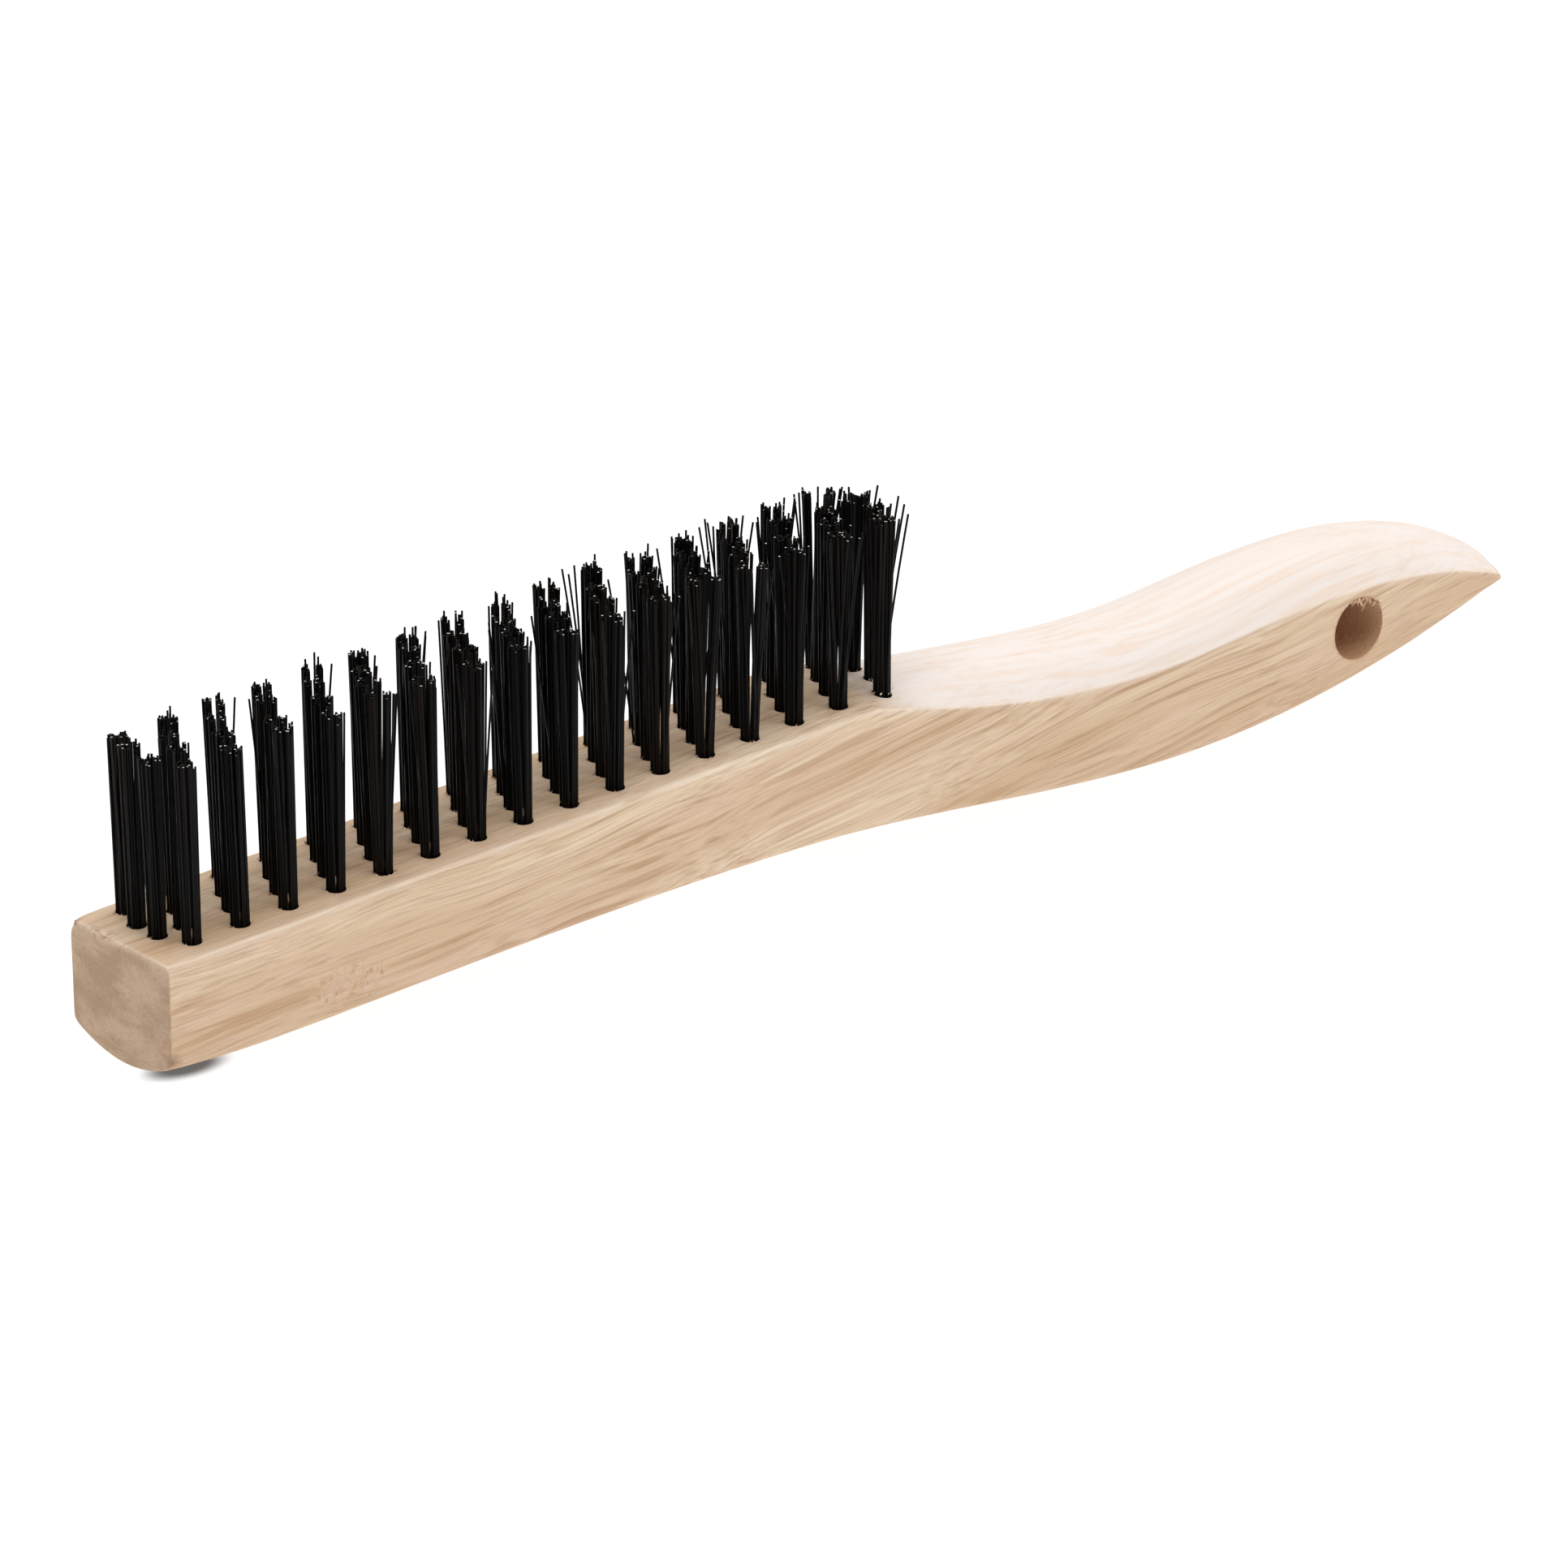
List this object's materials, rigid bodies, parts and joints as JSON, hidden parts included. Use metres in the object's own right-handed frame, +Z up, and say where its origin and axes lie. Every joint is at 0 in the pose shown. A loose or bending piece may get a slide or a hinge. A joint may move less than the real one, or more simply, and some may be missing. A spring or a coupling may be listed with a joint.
{
  "type": "wire scratch brush",
  "caption": "Curved-handle hardwood scratch brush with four staggered rows of stiff wire tufts and a hang hole near the tip of the handle.",
  "frame": {"origin": "on the bench, under the middle of the brush's box", "axes": "+X along the brush towards the tip of the handle, +Z up, away from the bench and towards the wire tips, +Y across the block"},
  "size_m": [0.2616, 0.0222, 0.0524],
  "materials": {
    "hardwood": "bare, fine sawn and sanded",
    "tuft_wire": "black oil-tempered wire, satin",
    "anchor_wire": "drawn flat wire"
  },
  "bodies": {
    "root": {"block_and_handle": "hardwood", "tufts_rank_01": "tuft_wire", "tufts_rank_02": "tuft_wire", "tufts_rank_03": "tuft_wire", "tufts_rank_04": "tuft_wire", "tufts_rank_05": "tuft_wire", "tufts_rank_06": "tuft_wire", "tufts_rank_07": "tuft_wire", "tufts_rank_08": "tuft_wire", "tufts_rank_09": "tuft_wire", "tufts_rank_10": "tuft_wire", "tufts_rank_11": "tuft_wire", "tufts_rank_12": "tuft_wire", "tufts_rank_13": "tuft_wire", "tufts_rank_14": "tuft_wire", "tufts_rank_15": "tuft_wire", "tufts_rank_16": "tuft_wire", "tufts_rank_17": "tuft_wire", "anchors_rank_01": "anchor_wire", "anchors_rank_02": "anchor_wire", "anchors_rank_03": "anchor_wire", "anchors_rank_04": "anchor_wire", "anchors_rank_05": "anchor_wire", "anchors_rank_06": "anchor_wire", "anchors_rank_07": "anchor_wire", "anchors_rank_08": "anchor_wire", "anchors_rank_09": "anchor_wire", "anchors_rank_10": "anchor_wire", "anchors_rank_11": "anchor_wire", "anchors_rank_12": "anchor_wire", "anchors_rank_13": "anchor_wire", "anchors_rank_14": "anchor_wire", "anchors_rank_15": "anchor_wire", "anchors_rank_16": "anchor_wire", "anchors_rank_17": "anchor_wire"}
  },
  "joints": []
}
